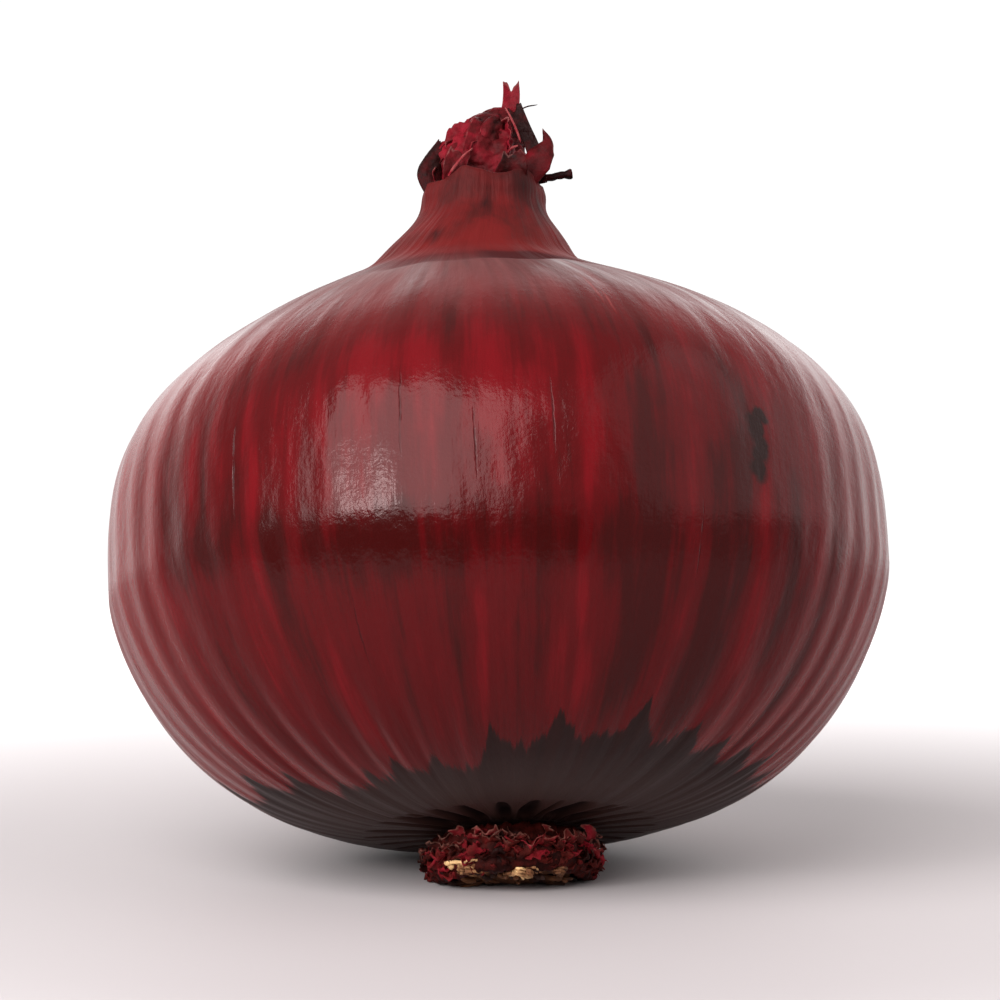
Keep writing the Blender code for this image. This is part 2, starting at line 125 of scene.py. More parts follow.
# Torn leaf ends on the neck: path in mm from the neck's top, direction across, half widths, cup, ragged,
# shade, and for the first the depth of the notch in its tip
TUFT_LEAVES = (
    ([(2.6, 0.6, 3), (3.2, 0.6, 7), (3.6, 0.5, 10), (3.75, 0.4, 12.9)], RIGHT, (1.2, 1.05, 0.95, 1),
     0.25, 0.07, 0.85, 0.13),
    ([(6.5, -1.3, -0.6), (6.2, -1.7, 2.6), (5.3, -1.6, 5.8), (4, -1, 9.3)], RIGHT + FRONT * 0.2,
     (1, 0.85, 0.8, 0.9), 0.2, 0.08, 0),
    ([(5, -2.4, -1.2), (6.2, -2.5, 1.3), (7, -2.2, 3), (7.65, -1.8, 4.4), (7.3, -1.4, 6)],
     RIGHT + FRONT * 0.25, (0.8, 1.9, 1.5, 0.65, 0.06), -0.4, 0.03, 0.35),
    ([(-5.6, -2, -1.2), (-6.3, -1.8, 1), (-5.6, -1.3, 2.9), (-4.4, -0.8, 5.2)], RIGHT + FRONT * -0.2,
     (1.3, 1.4, 1.25, 0.8), -0.5, 0.2, 0.08),
    ([(-4.4, 1.4, -0.8), (-5.4, 1.2, 1.8), (-4.8, 0.6, 3.8)], RIGHT, (2, 1.6, 1), 0.4, 0.3, 0.12),
    ([(-2.9, -4.4, -1.2), (-3.2, -5, 0.9), (-2.2, -4.9, 2.9)], RIGHT + UP * 0.6, (1.6, 1.5, 1.2),
     0.3, 0.15, 0.45),
    ([(3.2, -4.8, -0.8), (3.6, -5.6, 0.8), (3.5, -5.2, 2.6)], RIGHT, (1.9, 1.6, 1), 0.4, 0.2, 0.25),
    ([(-4, -5.2, -0.3), (-3.2, -5.6, 0.7), (-2.2, -5.8, 1.8), (-1, -5.6, 2.8)], UP + RIGHT * -0.6,
     (0.14, 0.20, 0.16, 0.08), 0.1, 0.1, PALE),
    ([(3, -2.4, 8.5), (3.55, -3, 7.2), (4.2, -3.3, 5.4), (4.6, -3.5, 3.8)], RIGHT, (0.07, 0.12, 0.14, 0.1),
     0.1, 0.1, PALE),
    ([(3.1, -5, 2.3), (3.6, -5.4, 2.7), (4.3, -5.3, 3)], UP, (0.1, 0.2, 0.1), 0.1, 0.1, PALE),
    ([(-2.6, 4.4, -0.8), (-3.5, 5.6, 2.6), (-2.6, 5, 5)], RIGHT, (2.4, 2, 1), -0.4, 0.3, 0.4),
    ([(3, 4.2, -0.8), (3.8, 5.2, 2.3), (3.4, 5, 4.2)], RIGHT - FRONT * 0.4, (2.2, 1.7, 0.9),
     -0.4, 0.3, 0.3),
)
# Stalks on the neck: path in mm from the neck's top, radius, radius of the knob at the end
TUFT_STALKS = (
    ([(5, -0.3, 0.5), (7.4, -0.4, 0.35), (9, -0.3, 0.6), (10.45, -0.2, 0.75)], 0.42, 0.72),
    ([(4.2, 0.2, 7.9), (4.7, 0.2, 8.9), (5.5, 0.1, 9.35), (6.8, 0, 9.5)], 0.08, 0.03),
)
# The crumpled core of the neck: half sizes in mm, its middle, and the offsets of the noise that bends it
WAD_SIZE, WAD_BELOW, WAD_MIDDLE = (4.5, 4.2, 5.6), 4, (0.1, 0.4, 3.8)
WAD_SHIFTS = ((0, 0, 0), (11.3, 3.1, 7.7), (5.9, 17.2, 2.4))

# Tiers of torn flakes: how many, distance and height in mm where they start and end, half width,
# range of shades, and how pale their torn edges are
FLAKE_TIERS = (
    (22, 8.6, -2.2, 10.3, -1.7, 1.5, (0.2, 0.8), 1),
    (34, 8.7, -2.8, 10.8, -2.4, 1.3, (0, 1), 0.8),
    (42, 8.8, -3.5, 10.9, -3.4, 1.2, (-0.1, 1), 0.4),
    (46, 8.7, -4.2, 10.3, -4.4, 1.3, (0, 0.8), 0.3),
    (50, 8.3, -4.8, 9.4, -5.2, 1.2, (0.15, 0.6), 0.25),
)
# The band that the flakes grow from: distance from the axis, height and half sizes in mm
BAND_OUT, BAND_HEIGHT, BAND_HALF_WIDE, BAND_HALF_HIGH = 8.3, -3.7, 1.3, 2.7
# The root disc in mm: radius, top, height of its side and how far its underside bulges
DISC_RADIUS, DISC_TOP, DISC_SIDE, DISC_BULGE = 6.6, -0.8, 4.9, 0.9
# Roots in some turns round the plate, and strands in each of the bundles at the front
ROOTS_ROUND, ROOT_TURNS, STRANDS = 54, 3, 6
# Bundles of paler roots seen at the front: azimuth, distance from the axis, height, length in mm and shade
FRONT_ROOTS = (
    (-46, 9.5, -5.2, 4.2, 0.8), (-32, 9.4, -5.6, 3.4, 0.7), (-39, 9.2, -5.9, 2.6, 0.55),
    (4, 8.3, -6.6, 3, 0.85), (13, 8.4, -6.2, 2.6, 0.7), (39, 8.7, -6.1, 1.8, 0.35),
)

# Colours of the skin as linear red, green and blue
BRIGHT, MIDDLE, BROWN = (0.130, 0.0027, 0.0052), (0.072, 0.0024, 0.0033), (0.036, 0.0029, 0.0028)
# The colour next to the roots is partly the skin's own grey and partly painted light against the shade there
BASE_DARK, BASE_WARM, BASE_GREY_AND_PAINTED_LIGHT_AT_ROOTS = (0.0090, 0.0022, 0.0018), (0.016, 0.0034, 0.0027), (0.028, 0.0115, 0.0090)
NECK_DARK, NECK_RED = (0.050, 0.0036, 0.0032), (0.112, 0.0042, 0.0044)
# The colour inside the neck's rim is painted shade
NECK_RIM, NECK_FOOT, NECK_INSIDE_PAINTED_SHADE = (0.040, 0.0024, 0.0026), (0.140, 0.0062, 0.0052), (0.012, 0.0025, 0.0025)
# Painted shade for the hollows above the scale bases and the fold under the neck's foot
HOLLOW_PAINTED_SHADE, FOLD_PAINTED_SHADE = (0.004, 0.0008, 0.0009), (0.026, 0.0014, 0.0022)
# Painted sheen: pale on the shoulder under the neck, and pink where the skin turns edge-on
PAINTED_SHEEN, PAINTED_EDGE_SHEEN = (0.25, 0.105, 0.100), (0.20, 0.0075, 0.0080)
BLEMISH_BROWN, CRACK_DARK = (0.013, 0.0035, 0.003), (0.020, 0.0020, 0.0022)
SCUFF_PALE, PATCH_DARK = (0.30, 0.055, 0.050), (0.022, 0.0018, 0.0019)
# Dry scale: dark, middle and bright, the colour of its torn edges, and how much they show
NECK_SCALE = ((0.014, 0.0024, 0.0022), (0.078, 0.0045, 0.0062), (0.21, 0.0065, 0.0150), (0.36, 0.13, 0.12), 0.55)
ROOT_SCALE = ((0.014, 0.0018, 0.0012), (0.085, 0.0090, 0.0070), (0.22, 0.0090, 0.0170), (0.34, 0.15, 0.115), 0.6)
ROOT_DARK, ROOT_TAN, ROOT_PALE = (0.034, 0.010, 0.006), (0.21, 0.078, 0.028), (0.92, 0.58, 0.27)
FLOOR_GREY, WHITE = (0.505, 0.458, 0.463), (1, 1, 1)

# Marks on the skin: azimuth, height, half width and half height in mm
BLEMISH = ((41, 37.2, 1.6, 2.4), (41.4, 34.8, 1.5, 2.6), (40.8, 32.6, 1.6, 1.9), (42.4, 38.8, 1, 1.5))
CRACKS = (
    (-12.5, 39, 0.17, 6.5), (-2, 35, 0.17, 5.5), (9, 37.5, 0.15, 5), (-39.4, 36, 0.15, 7),
    (30.5, 24, 0.13, 6), (-22, 16, 0.14, 5),
)
SCUFFS = ((20.4, 54.5, 0.35, 3.2), (21.6, 52.5, 0.25, 2.4), (68, 46, 2, 1), (66.5, 45.2, 1.2, 0.7))
NECK_PATCHES = ((40, 74.8, 17, 3.6), (62, 72.5, 12, 2.6), (4, 72, 6, 2), (-24, 68, 6, 1.8))

# Brightness of the surroundings: behind the onion, the room in front, overhead, and the glow far behind
WORLD_BRIGHT, WORLD_ROOM, WORLD_TOP, WORLD_BACK = 1.3, 0.42, 0.5, 1.55
# Soft panels: name, azimuth and elevation, distance in m, width and height in degrees, radiance, tint
LIGHTS = (
    ("window", -33, 37, 1.2, 56, 46, 5.5, WHITE),
    ("window_bright", -41.5, 22.5, 1.15, 10.5, 11, 20, WHITE),
    ("fill", 76, 34, 1.3, 64, 56, 0.85, (1, 0.92, 0.92)),
)
LIT_POINT = Vector((0, 0.005, 0.04))  # what the panels face
# The camera: how far it looks down, where it aims, and how far from there it stands
LOOKS_DOWN, AIM, DISTANCE = radians(6), Vector((0, 6, 36)) * MM, 0.65
LENS, SENSOR, SHIFT_X, SHIFT_Y = 203.1, 36, -0.011, 0.062


def posture():
    """From the bulb frame to the world."""
    lean = Matrix.Rotation(-LEAN_LEFT, 4, "Y") @ Matrix.Rotation(-LEAN_BACK, 4, "X")
    return Matrix.Translation(UNDERSIDE_AT) @ lean


PLACE = np.array(posture())


def to_world(points):
    """Bulb frame to world for an array of points, with nothing left below the floor."""
    placed = points @ PLACE[:3, :3].T + PLACE[:3, 3]
    placed[..., 2] = np.maximum(placed[..., 2], 0)
    return placed


def nod(height):
    """How far the middle of the shoulder and neck is off the bulb's axis at these heights."""
    rise = np.maximum(0, height - NOD_FROM)
    sway = SWAY_LEFT * np.exp(-(((height - SWAY_AT) / SWAY_SPREAD) ** 2))
    return np.stack([NOD_RIGHT * rise * rise - sway, -NOD_FORWARD * rise * rise, 0 * rise], axis=-1)


def bulb_radius(height):
    below = np.clip((EQUATOR - height) / LOWER_REACH, 0, 1) ** LOWER_DROP
    lower = BULB_RADIUS * (1 - below) ** (1 / LOWER_ROUND)
    above = np.clip((height - EQUATOR) / UPPER_REACH, 0, 1) ** UPPER_DROP
    body = BULB_RADIUS * (1 - above) ** (1 / UPPER_ROUND)
    along = np.clip((height - FLARE_FROM) / (FLARE_TO - FLARE_FROM), 0, 1)
    neck = NECK_RADIUS + NECK_FLARE * (0.5 + 0.5 * np.cos(np.pi * along))
    return np.where(height <= EQUATOR, lower, (body**6 + neck**6) ** (1 / 6))


def ease(low, high, value):
    """0 below low, 1 above high, smooth in between."""
    t = np.clip((value - low) / (high - low), 0, 1)
    return t * t * (3 - 2 * t)


def wrapped(degrees):
    """The same direction between -180 and 180 degrees."""
    return (degrees + 180) % 360 - 180


def front_azimuth(angle):
    """Degrees from the front, -180 to 180, for an angle from +X."""
    return wrapped(np.degrees(angle) + 90)


def spaced(draw, start, stop, low_gap, high_gap):
    """Azimuths from start to stop with a drawn gap between them."""
    while start < stop:
        yield start
        start += draw.uniform(low_gap, high_gap)


def waves(angle, height, seed, slowest, fastest, count, drift):
    """Uneven streaks round the axis, between about -1 and 1, which wander as they climb."""
    draw = random.Random(seed)
    total = 0 * angle
    for _ in range(count):
        turns = draw.randint(slowest, fastest)
        wander = draw.uniform(-drift, drift) / MM
        total = total + np.cos(turns * angle + wander * height + draw.uniform(0, 2 * np.pi))
    return total / sqrt(count)


def relief(angle, height, radius):
    """Outward offset of the skin: pleats that deepen towards the roots, and long folds on the neck."""
    bent = angle + 0.035 * np.sin(3 * angle + 0.7) + 0.02 * np.sin(7 * angle + 2.1)
    strength = 0.7 + 0.3 * np.sin(5 * angle + 1.3) * np.sin(2 * angle + 0.4)
    fade_up = 1 - 0.75 * np.clip((height - EQUATOR) / (FLARE_TO - EQUATOR), 0, 1)
    near_root = np.clip(radius / NECK_RADIUS - 0.9, 0, 1)
    soft = 0.5 * np.cos(RIDGES * bent) - 0.5
    pleated = np.abs(np.cos(0.5 * RIDGES * bent)) - 1
    pleat_share = 1 - ease(4 * MM, 16 * MM, height)
    sides = ease(38, 68, np.abs(front_azimuth(angle)))
    calm = 0.2 + 0.2 * sides
    main = RIDGE_HEIGHT * strength * fade_up * (soft + pleat_share * (pleated - soft))
    main = main * (calm + (1 - calm) * pleat_share)
    uneven = 0.5 + 0.5 * np.sin(9 * angle + 0.4)
    between = np.abs(np.cos(0.5 * (2 * RIDGES + 9) * bent + 0.6)) - 0.8
    extra = RIDGE_HEIGHT * 0.36 * pleat_share**2 * uneven * between
    drift = 0.045 * MM * waves(angle, height, 3, 20, 60, 12, 0.03) * (0.4 + 0.4 * sides)
    broad = 0.16 * MM * waves(angle, height, 5, 3, 12, 8, 0.04)
    on_neck = ease(61 * MM, 68 * MM, height)
    folds = on_neck * MM * (
        0.12 * waves(angle, height, 8, 4, 9, 6, 0.12) + 0.012 * waves(angle, height, 9, 18, 40, 10, 0.2)
    )
    crease_at = 22.6 + 0.35 * (57.5 - height / MM)
    crease = np.exp(-(((front_azimuth(angle) - crease_at) / 0.9) ** 2))
    crease = 0.16 * MM * crease * ease(54.5 * MM, 56 * MM, height) * (1 - ease(59.5 * MM, 60.5 * MM, height))
    near_rim = ease(71.5 * MM, 75.5 * MM, height)
    lip = ease(73.6 * MM, 76.6 * MM, height)
    folds = folds + MM * (0.2 * near_rim * waves(angle, height, 12, 4, 9, 4, 0.25) + 0.2 * near_rim - 0.55 * lip**2)
    return near_root * (main + extra + drift * (1 - on_neck) + broad * (1 - on_neck)) + folds - crease


def neck_foot_recess(azimuth, height):
    """Inward dip where the neck's foot folds over the shoulder, 0 to 1, and how much painted shade darkens it there.
    """
    across = np.exp(-(((azimuth - 21) / 19) ** 4)) + 0.4 * np.exp(-(((azimuth + 16) / 16) ** 4))
    level = height / MM - 0.25 * np.sin(0.3 * azimuth)
    past_deepest = np.clip((level - FOLD_DEEPEST) / FOLD_LENGTH, 0, 1)
    inward = across * ease(FOLD_FROM, FOLD_DEEPEST, level) * (1 - past_deepest)
    return inward, across * ease(FOLD_FROM, 61.8, level) * (1 - ease(63.6, 64.8, level))


def root_hollows(azimuth, radius):
    """How deep the hollows are, 0 to 1, that open between the pleats just above the scale bases."""
    hollows = list(FRONT_HOLLOWS)
    draw = random.Random(SEED + 5)
    hollows += [(at, draw.uniform(2.2, 5.5)) for at in spaced(draw, 52, 315, 11, 19)]
    depth = 0 * azimuth
    narrowed = 0.95 - 0.5 * ease(10, 17, radius / MM)
    for middle, half_width in hollows:
        apart = wrapped(azimuth - middle) / (half_width * narrowed)
        depth = np.maximum(depth, np.exp(-(apart**4)))
    return depth * ease(*HOLLOW_START, radius / MM) * (1 - ease(*HOLLOW_END, radius / MM))


def stripes():
    """The front's stripes, and drawn ones for the rest of the way round."""
    made = list(FRONT_STRIPES)
    draw = random.Random(SEED)
    for azimuth in spaced(draw, 76, 290, 2.2, 5.2):
        low = draw.uniform(4, 32)
        high = low + draw.uniform(12, 34)
        half_width = draw.uniform(1, 3.2)
        made.append((azimuth, low, min(high, 58), half_width, draw.choice((-0.8, -0.6, 0.5, 0.8, 1))))
    return made


def stripe_tone_with_painted_light(azimuth, height):
    """How red the skin is: about 0.5 in between, more in bright stripes and less in brown ones, with painted light
    under the window's highlight and a belt of painted shade below it.
    """
    level = height / MM
    # Painted light: redder where the window's highlight falls
    painted_light = ease(-30, -20, azimuth) * (1 - ease(2, 10, azimuth))
    painted_light = painted_light * ease(27.5, 30.5, level) * (1 - ease(46, 52, level))
    # Painted shade: a darker belt below the highlight, where the dark room is reflected
    painted_belt_at = PAINTED_BELT_AT + PAINTED_BELT_BEND * (azimuth - PAINTED_BELT_MIDDLE) ** 2
    painted_belt = np.exp(-(((level - painted_belt_at) / PAINTED_BELT_SPREAD) ** 2))
    painted_belt = painted_belt * ease(-56, -46, azimuth) * (1 - ease(14, 26, azimuth))
    tone = TONE + TONE_ABOVE * ease(33, 38, level) + TONE_SHOULDER * ease(42, 52, level)
    tone = tone + TONE_PAINTED_BELT * painted_belt + TONE_PAINTED_LIGHT * painted_light
    for at, low, high, half_width, strength in stripes():
        drift = 0.5 * np.sin(level * 0.21 + at) + 0.3 * np.sin(level * 0.53 + 2 * at)
        apart = wrapped(azimuth - at - drift)
        window = ease(low - 2.5, low + 2, level) * (1 - ease(high - 3, high + 3, level))
        share = BRIGHT_STRIPE if strength > 0 else DARK_STRIPE
        if strength < 0 and 50 < at < 310:
            share *= DARK_STRIPE_BEHIND
        tone = tone + share * strength * window * np.exp(-((apart / half_width) ** 2))
    return tone


def base_edge(azimuth):
    """Height in mm of the edge between the red skin and the dark zone round the roots."""
    peaks = list(BASE_PEAKS)
    draw = random.Random(SEED + 1)
    peaks += [(at, draw.uniform(4, 7.5)) for at in spaced(draw, 88, 280, 9, 16)]
    turned = np.where(azimuth < peaks[0][0], azimuth + 360, azimuth)
    ends = [*peaks, (peaks[0][0] + 360, peaks[0][1])]
    edge = 0 * azimuth
    for (left, left_peak), (right, right_peak) in zip(ends, ends[1:]):
        along = (turned - left) / (right - left)
        inside = (along >= 0) & (along < 1)
        peak = left_peak + (right_peak - left_peak) * along
        tongue = 0.62 * min(left_peak, right_peak) + 0.3
        shape = np.abs(2 * along - 1) ** 2.6
        edge = np.where(inside, tongue + (peak - tongue) * shape, edge)
    return edge


def mesh_object(name, points, faces, fields=None, smooth=True):
    """A mesh object from points and faces, with float or vector fields for its material."""
    mesh = bpy.data.meshes.new(name)
    mesh.from_pydata(points.tolist(), [], faces)
    mesh.validate()
    for field, values in (fields or {}).items():
        kind = "FLOAT_VECTOR" if values.ndim == 2 else "FLOAT"
        layer = mesh.attributes.new(field, kind, "POINT")
        layer.data.foreach_set("vector" if values.ndim == 2 else "value", values.astype(np.float32).ravel())
    if smooth:
        mesh.shade_smooth()
    made = bpy.data.objects.new(name, mesh)
    bpy.context.scene.collection.objects.link(made)
    return made


def ring_faces(rings, columns, closed=False, turned=False):
    """Quads between rings of points: closed joins the last ring to the first, turned faces them the other way."""
    ring = np.arange(rings if closed else rings - 1)[:, None]
    after = (ring + 1) % rings * columns
    ring = ring * columns
    column = np.arange(columns)[None, :]
    following = (column + 1) % columns
    corners = [ring + column, ring + following, after + following, after + column]
    if turned:
        corners = [corners[0], *corners[:0:-1]]
    return np.stack(corners, axis=-1).reshape(-1, 4).tolist()


def skin_levels():
    """Height and radius of every ring of the skin, from the dished underside up to the neck's top."""
    flat = bulb_radius(np.array(0))
    dish = [(-UNDERSIDE_DISH * (1 - i / 10), UNDERSIDE_RADIUS + (flat - UNDERSIDE_RADIUS) * i / 10)
            for i in range(10)]
    heights = [EQUATOR * (1 - cos(radians(90 * i / 48))) for i in range(48)]
    heights += [EQUATOR + (SHOULDER - EQUATOR) * sin(radians(90 * i / 38)) for i in range(38)]
    heights += [SHOULDER + (NECK_TOP - SHOULDER) * i / 50 for i in range(51)]
    return dish + [(height, bulb_radius(np.array(height))) for height in heights]


def make_skin():
    columns = RIDGES * COLUMNS_A_RIDGE
    angle = 2 * np.pi * np.arange(columns) / columns
    azimuth = front_azimuth(angle)
    points = []
    fields = {name: [] for name in ("along_skin", "tone", "above_base", "height_mm", "depth", "hollow")}
    rim = RIM_BROAD * waves(angle, 0, 21, 2, 7, 5, 0) + RIM_FINE * waves(angle, 0, 22, 9, 20, 6, 0)

    def add_ring(height, out, depth, hollow=0):
        """One ring of points: heights and radii by column, and how deep inside the neck it lies."""
        ring = np.stack([out * np.cos(angle), out * np.sin(angle), height], axis=-1) + nod(height)
        points.append(to_world(ring))
        along = np.stack([np.cos(angle), np.sin(angle), height / BULB_RADIUS], axis=-1)
        level, flat = height / MM, 0 * angle
        given = (along, stripe_tone_with_painted_light(azimuth, height), level - base_edge(azimuth), level, flat + depth, flat + hollow)
        for kept, values in zip(fields.values(), given):
            kept.append(values)

    for height, radius in skin_levels():
        raised = height + rim * ease(RIM_FROM, NECK_TOP, height)
        out = radius + relief(angle, raised, radius)
        dip, painted_fold_shade = neck_foot_recess(azimuth, raised)
        hollow = root_hollows(azimuth, radius) if height < 5 * MM else 0
        # The hollow field carries painted shade into the hollows and the fold
        add_ring(raised + HOLLOW_RAISE * hollow, out - FOLD_DEPTH * dip, 0, np.maximum(painted_fold_shade, hollow))
    for inward, drop, depth in LIP:
        add_ring(raised - drop * MM, out - inward * MM, depth)
    rings = len(points)
    faces = ring_faces(rings, columns)
    ends = []
    for index, height in ((0, -UNDERSIDE_DISH), (rings - 1, NECK_TOP - LIP[-1][1] * MM)):
        middle = np.array([[0, 0, height]]) + nod(np.array([height]))
        ends.append(to_world(middle))
        centre = rings * columns + len(ends) - 1
        for column in range(columns):
            pair = (index * columns + column, index * columns + (column + 1) % columns)
            faces.append((pair[1], pair[0], centre) if index == 0 else (pair[0], pair[1], centre))
    at_ends = (np.zeros((2, 3)), [0.5, 0.5], [-5, 10], [0, 74], [0, 1], [0, 0])
    fields = {name: np.concatenate([*fields[name], values]) for name, values in zip(fields, at_ends)}
    return mesh_object("onion_skin", np.concatenate([*points, *ends]), faces, fields)


def outward(angle):
    """The direction away from the axis at an angle."""
    return Vector((cos(angle), sin(angle), 0))


def sideways(angle, rise=0):
    """The direction round the axis at an angle, with an upward part if rise isn't 0."""
    return Vector((-sin(angle), cos(angle), rise))


def smooth_path(points, count):
    """Points on a smooth curve through the given ones, evenly spread over its spans."""
    points = [Vector(point) for point in points]
    ends = [points[0] * 2 - points[1], *points, points[-1] * 2 - points[-2]]
    spans = len(points) - 1
    path = []
    for index in range(count):
        place = min(index / (count - 1) * spans, spans - 1e-6)
        at = int(place)
        t = place - at
        a, b, c, d = ends[at : at + 4]
        path.append(
            0.5 * (2 * b + (c - a) * t + (2 * a - 5 * b + 4 * c - d) * t**2 + (3 * b - a - 3 * c + d) * t**3)
        )
    return path


def wave_1d(draw, count, slowest, fastest):
    """A seeded wavy function of one number, between about -1 and 1."""
    terms = [(draw.uniform(slowest, fastest), draw.uniform(0, 6.3)) for _ in range(count)]
    return lambda x: sum(sin(rate * x + shift) for rate, shift in terms) / sqrt(count)


def torn_leaf(
    path, across, half_widths, cup, draw, ragged, wrinkle, thickness=0.22, rows=26, columns=12,
    notch=0, side_size=0.1, side_rate=1.5,
):
    """A thin crumpled leaf end in mm, closed all round: points, faces, and how near a torn edge each is."""
    centres = smooth_path(path, 4 * rows)
    reach = wave_1d(draw, 4, 1.5, 5)
    frayed = wave_1d(draw, 3, 6, 12)
    side_wave = wave_1d(draw, 4, 2, 6)
    offset = Vector((draw.uniform(0, 50), draw.uniform(0, 50), draw.uniform(0, 50)))
    top, bottom, edges = [], [], []
    for row in range(rows):
        for column in range(columns):
            u = 2 * column / (columns - 1) - 1
            end = 1 - ragged * (0.35 + 0.3 * reach(u) + 0.16 * frayed(u))
            end = max(0.4, min(1, end)) - notch * max(0, 1 - abs(u - 0.1) / 0.6)
            v = row / (rows - 1) * end
            index = min(int(v * (4 * rows - 1)), 4 * rows - 2)
            centre = centres[index].lerp(centres[index + 1], v * (4 * rows - 1) - index)
            tangent = (centres[min(index + 2, 4 * rows - 1)] - centres[max(index - 2, 0)]).normalized()
            side = (across - tangent * across.dot(tangent)).normalized()
            face = tangent.cross(side)
            place = v * (len(half_widths) - 1)
            low = min(int(place), len(half_widths) - 2)
            width = half_widths[low] + (half_widths[low + 1] - half_widths[low]) * (place - low)
            width *= 1 + side_size * side_wave(side_rate * v + (2 if u > 0 else 0)) * (0.2 + v)
            where = centre + side * (u * width)
            crumple = noise.noise(where * 0.75 + offset) + 0.5 * noise.noise(where * 1.9 + offset)
            rise = cup * (1 - u * u) + wrinkle * crumple * (0.4 + 0.8 * v)
            where = where + face * rise
            rim = max(abs(u) ** 6, (row / (rows - 1)) ** 8)
            half = 0.5 * thickness * (1 - 0.65 * rim)
            top.append(where + face * half)
            bottom.append(where - face * half)
            edges.append(max(abs(u) ** 5 * min(1, 0.3 + v), (row / (rows - 1)) ** 6))
    points = np.array([tuple(point) for point in top + bottom])
    faces = []
    shift = rows * columns
    for row in range(rows - 1):
        for column in range(columns - 1):
            a = row * columns + column
            b, c, d = a + 1, a + columns + 1, a + columns
            faces.append((a, b, c, d))
            faces.append((shift + a, shift + d, shift + c, shift + b))
    rim_loop = list(range(columns))
    rim_loop += [row * columns + columns - 1 for row in range(1, rows)]
    rim_loop += [(rows - 1) * columns + column for column in range(columns - 2, -1, -1)]
    rim_loop += [row * columns for row in range(rows - 2, 0, -1)]
    for a, b in zip(rim_loop, rim_loop[1:] + rim_loop[:1]):
        faces.append((b, a, shift + a, shift + b))
    return points, faces, np.array(edges + edges)


def joined(name, parts, place):
    """One mesh of several closed shapes in mm, each with its own shade; place takes points to the world."""
    points, faces, torn, shades, start = [], [], [], [], 0
    for part_points, part_faces, part_torn, shade in parts:
        points.append(part_points)
        faces += [tuple(index + start for index in face) for face in part_faces]
        torn.append(part_torn)
        shades.append(np.full(len(part_points), shade))
        start += len(part_points)
    fields = {"torn": np.concatenate(torn), "shade": np.concatenate(shades)}
    return mesh_object(name, place(np.concatenate(points)), faces, fields)


def above_floor(points_mm, clearance=FLOOR_CLEARANCE):
    """World points for points in mm in the bulb frame, pressed flat just above the floor."""
    placed = (points_mm * MM) @ PLACE[:3, :3].T + PLACE[:3, 3]
    low = clearance + 0.15 * MM * (1 - np.exp(np.minimum(0, placed[:, 2] - clearance) / MM))
    placed[:, 2] = np.where(placed[:, 2] < clearance, low, placed[:, 2])
    return placed


def from_neck_top(points_mm):
    """World points for points in mm from the middle of the neck's top."""
    top = NECK_TOP + 0.3 * MM
    return to_world(points_mm * MM + np.array([0, 0, top]) + nod(np.array(top)))


def welded(made):
    """Merges the poles' coincident points and turns every face outwards."""
    mesh_data = bmesh.new()
    mesh_data.from_mesh(made.data)
    bmesh.ops.remove_doubles(mesh_data, verts=mesh_data.verts, dist=1e-6)
    bmesh.ops.recalc_face_normals(mesh_data, faces=mesh_data.faces)
    mesh_data.to_mesh(made.data)
    mesh_data.free()
    return made


def grid(rows, columns, point_of):
    """Points, and a value at each, of a grid whose columns go once round; point_of takes row and angle."""
    made = [point_of(row, tau * column / columns) for row in range(rows) for column in range(columns)]
    return np.array([tuple(point) for point, _ in made]), np.array([value for _, value in made])


def make_neck_wad():
    """The folded papery wad that fills the top of the neck, with painted shade along its creases."""
    rows, columns = 90, 150

    def crumpled(row, angle):
        polar = pi * row / rows
        way = Vector((sin(polar) * cos(angle), sin(polar) * sin(angle), cos(polar)))
        at = way * 1.3 + Vector((3.1, 0.2, 5))
        swirl = way + 0.3 * Vector([noise.noise(at + Vector(shift)) for shift in WAD_SHIFTS])
        near = noise.voronoi(swirl * 1.25 + Vector((0.4, 7.7, 1.9)))[0]
        fine = noise.voronoi(swirl * 3.2 + Vector((9.4, 2.7, 3.3)))[0]
        fold = min(1, (near[1] - near[0]) / 0.55)
        small = min(1, (fine[1] - fine[0]) / 0.5)
        lobes = 1 + 0.13 * sin(4 * angle + 2.5 * way.z) + 0.06 * sin(7 * angle - 4 * way.z + 1)
        scale = lobes * (0.80 + 0.20 * fold + 0.03 * small)
        height = way.z * (WAD_SIZE[2] if way.z > 0 else WAD_BELOW) * (0.9 + 0.12 * fold)
        point = (way.x * WAD_SIZE[0] * scale + 0.3 * height, way.y * WAD_SIZE[1] * scale, height)
        return point, 0.6 * (1 - fold) + 0.4 * (1 - small)

    points, creases = grid(rows + 1, columns, crumpled)
    faces = [face[::-1] for face in ring_faces(rows + 1, columns)]
    # Painted shade: the wad is darker along its creases
    fields = {"torn": 0.3 * creases, "shade": 0.8 - 0.6 * creases}
    return welded(mesh_object("neck_wad", from_neck_top(points + np.array(WAD_MIDDLE)), faces, fields))


def tube(path, rows, sides, side_of, size_of):
    """A tube along a path in mm, closed at its ends: its side for each direction, its size for row and turn."""
    centres = smooth_path(path, rows)
    points = []
    for row, centre in enumerate(centres):
        tangent = (centres[min(row + 1, rows - 1)] - centres[max(row - 1, 0)]).normalized()
        side = side_of(tangent).normalized()
        other = tangent.cross(side)
        for step in range(sides):
            turn = tau * step / sides
            points.append(tuple(centre + (side * cos(turn) + other * sin(turn)) * size_of(row, turn)))
    caps = [tuple(range(sides))[::-1], tuple((rows - 1) * sides + step for step in range(sides))]
    return np.array(points), ring_faces(rows, sides) + caps


